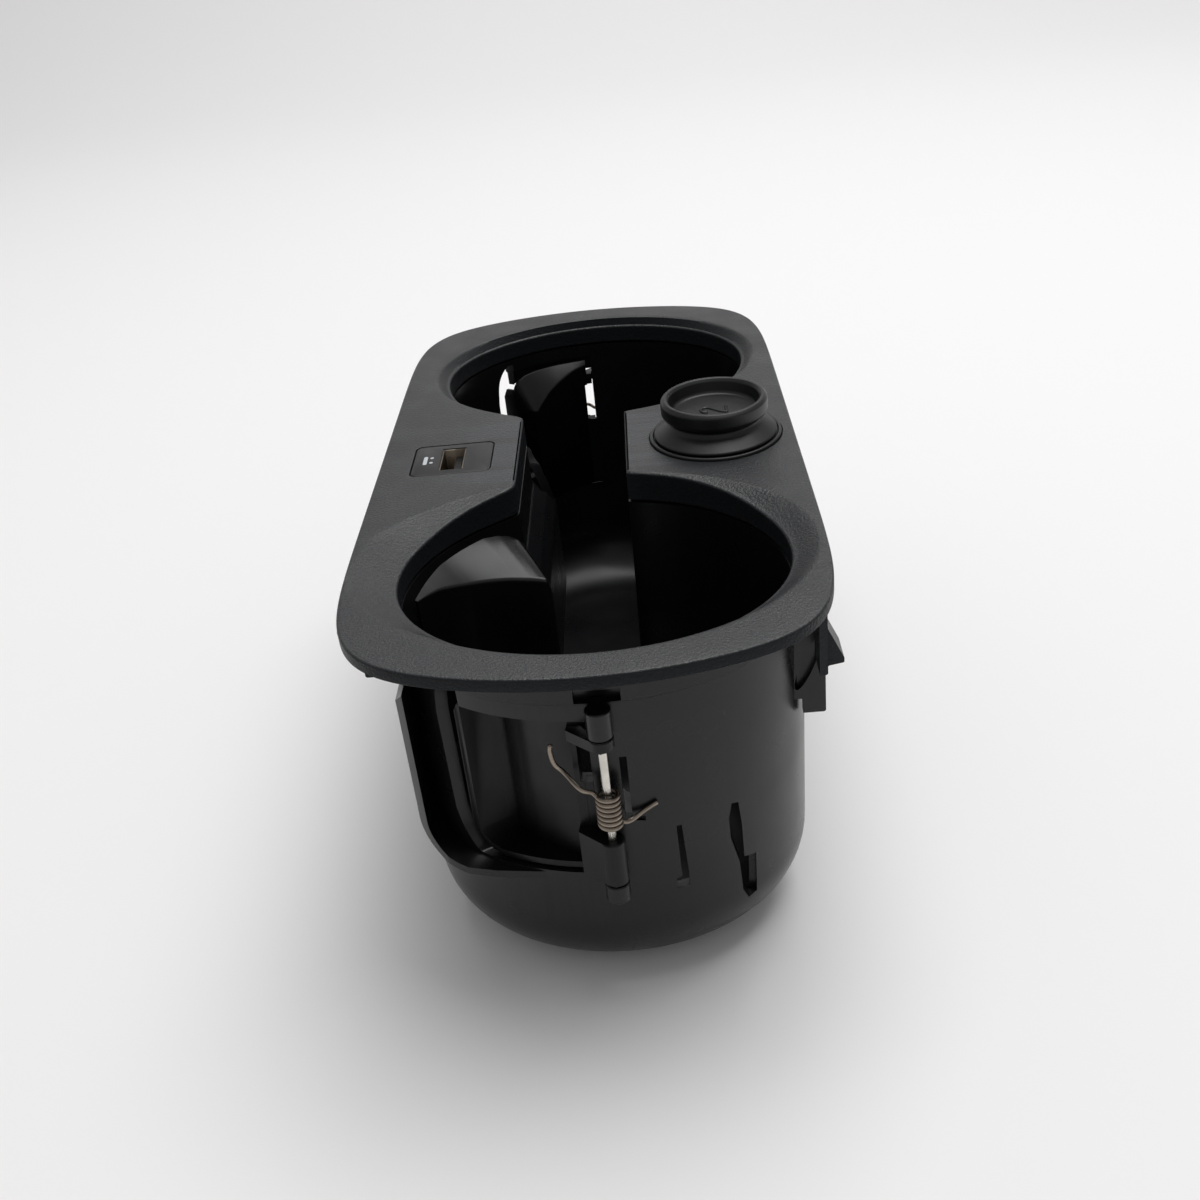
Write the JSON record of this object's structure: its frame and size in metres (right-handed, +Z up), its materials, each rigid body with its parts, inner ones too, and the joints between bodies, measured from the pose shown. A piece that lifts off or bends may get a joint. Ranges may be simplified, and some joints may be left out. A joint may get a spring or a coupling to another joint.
{
  "type": "car cup holder insert",
  "caption": "Twin car cup holder insert with a long bezel, oval wells joined by a channel, sprung cup flaps, a charging port and a capped power socket.",
  "frame": {"origin": "middle of the underside of the tub, under the middle of the bezel", "axes": "+X across the bezel towards the power socket, +Y along the bezel, +Z up out of the wells"},
  "size_m": [0.1156, 0.2284, 0.109],
  "materials": {
    "bezel_plastic": "fine grain, matte dark grey",
    "tub_plastic": "moulded gloss black",
    "cap_plastic": "satin black",
    "pin_steel": "drawn bright steel",
    "spring_steel": "warm grey spring wire",
    "shell_metal": "plated sheet metal",
    "barrel_steel": "plated steel tube",
    "contact_metal": "bright brass",
    "insulator_board": "pale board",
    "screw_steel": "black coated steel"
  },
  "bodies": {
    "holder": {"bezel": "bezel_plastic", "cup_tub": "tub_plastic", "pin_front": "pin_steel", "pin_rear": "pin_steel", "spring_front": "spring_steel", "spring_rear": "spring_steel", "port_plate": "bezel_plastic", "port_shell": "shell_metal", "port_tongue": "tub_plastic", "port_contacts": "contact_metal", "port_housing": "tub_plastic", "port_terminals": "shell_metal", "socket_ring": "bezel_plastic", "socket_barrel": "barrel_steel", "socket_housing": "tub_plastic", "socket_contact": "contact_metal", "socket_insulator": "insulator_board", "socket_terminals": "shell_metal", "tub_screws": "screw_steel"},
    "front_flap": {"flap_front": "tub_plastic"},
    "rear_flap": {"flap_rear": "tub_plastic"},
    "cap": {"socket_cap": "cap_plastic"}
  },
  "joints": [
    {"name": "front_flap_hinge", "type": "hinge", "parent": "holder", "child": "front_flap", "pos_m": [0.002, -0.1082, 0.06], "axis": [0, 0, 1], "range_deg": [0, 4.5], "stiffness_Nm_per_rad": 0.05, "springref_deg": -5.73, "deforming": ["spring_front"]},
    {"name": "rear_flap_hinge", "type": "hinge", "parent": "holder", "child": "rear_flap", "pos_m": [0.002, 0.1082, 0.06], "axis": [0, 0, -1], "range_deg": [0, 4.5], "stiffness_Nm_per_rad": 0.05, "springref_deg": -5.73, "deforming": ["spring_rear"]},
    {"name": "cap_pull", "type": "slide", "parent": "holder", "child": "cap", "axis": [0, 0, 1], "range_m": [0, 0.03]}
  ]
}
